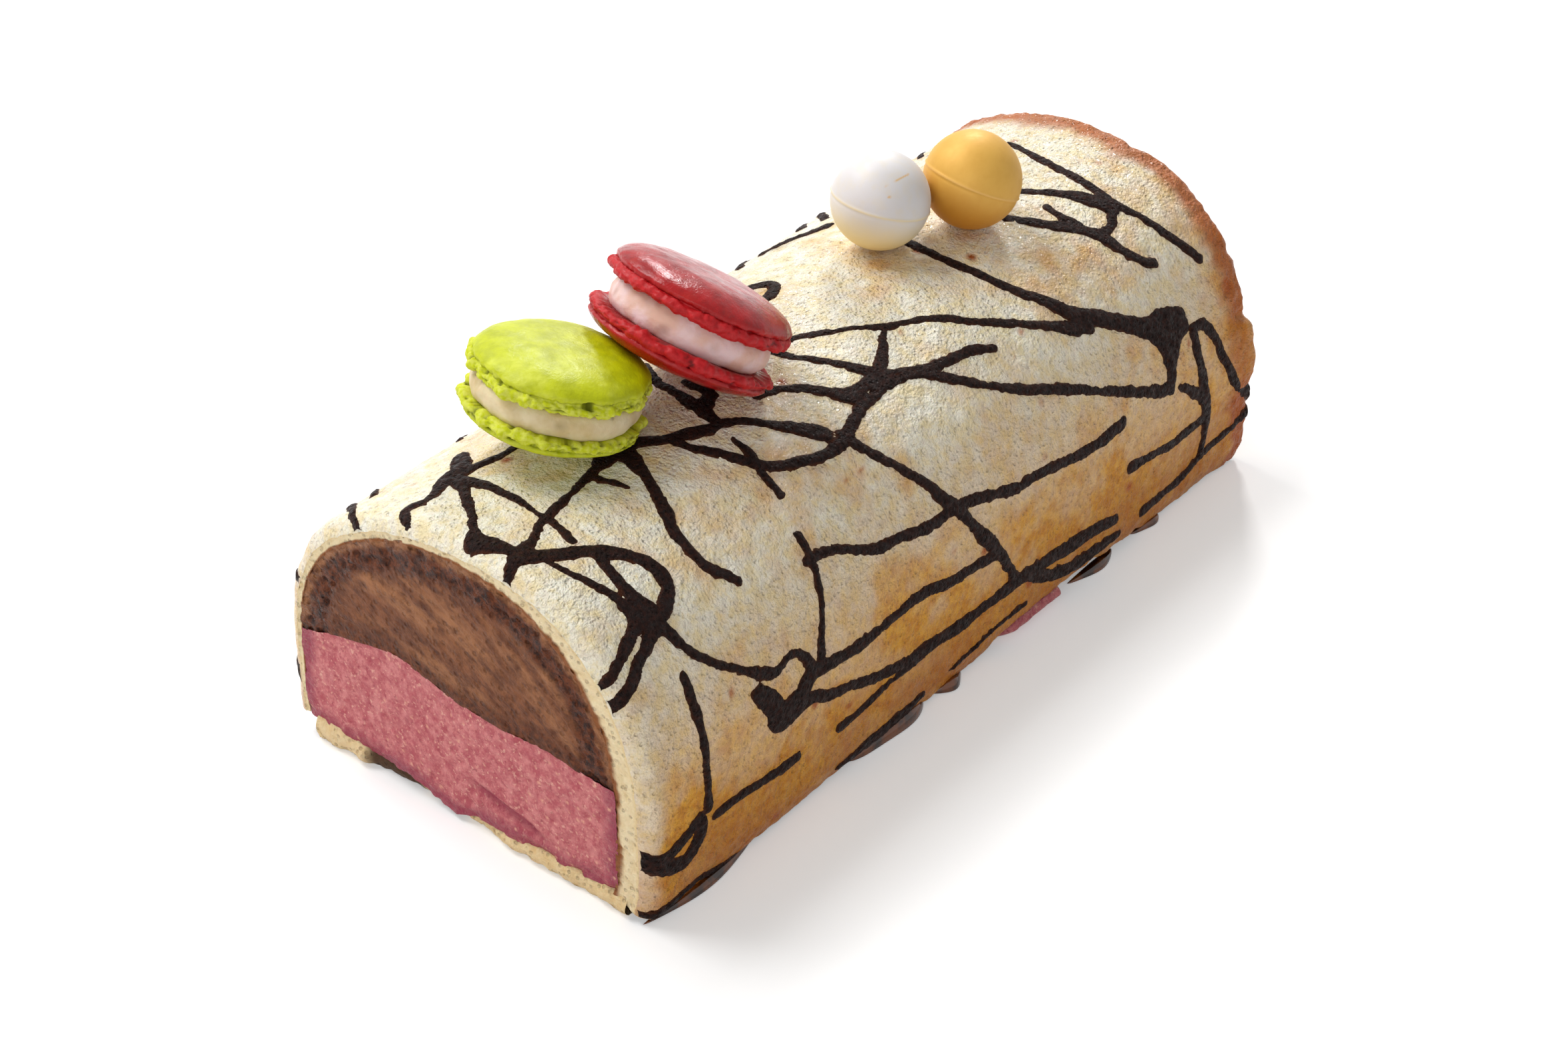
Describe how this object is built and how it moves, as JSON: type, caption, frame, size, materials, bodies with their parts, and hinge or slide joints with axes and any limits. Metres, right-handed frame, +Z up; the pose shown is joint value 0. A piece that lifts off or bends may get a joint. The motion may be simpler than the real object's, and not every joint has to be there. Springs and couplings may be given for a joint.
{
  "type": "yule log cake",
  "caption": "Sponge-wrapped yule log cake with chocolate and pink mousse layers, chocolate scribbles, two macarons and two chocolate balls.",
  "frame": {"origin": "middle of the underside of the cake's box, on the surface it stands on", "axes": "+X along the log from the cut face to the far end, +Z up, -Y the long side seen in the picture"},
  "size_m": [0.204, 0.096, 0.0983],
  "materials": {
    "sponge": "pale cream sponge with golden mottling and a thin syrup gloss",
    "base_sponge": "torn sponge crumb",
    "chocolate_mousse": "moist mousse, knife-smeared",
    "pink_mousse": "moist fine-grained mousse",
    "red_macaron_shell": "smooth glossy shell with a rough frilled foot",
    "red_macaron_filling": "smooth cream",
    "green_macaron_shell": "smooth satin shell with a rough frilled foot",
    "green_macaron_filling": "smooth cream",
    "white_ball": "pearl dust",
    "gold_ball": "satin gold dust"
  },
  "bodies": {
    "root": {"sponge_wrap": "sponge", "base_sponge": "base_sponge", "chocolate_mousse": "chocolate_mousse", "pink_mousse": "pink_mousse", "red_macaron_top": "red_macaron_shell", "red_macaron_filling": "red_macaron_filling", "red_macaron_base": "red_macaron_shell", "green_macaron_top": "green_macaron_shell", "green_macaron_filling": "green_macaron_filling", "green_macaron_base": "green_macaron_shell", "white_ball": "white_ball", "gold_ball": "gold_ball"}
  },
  "joints": []
}
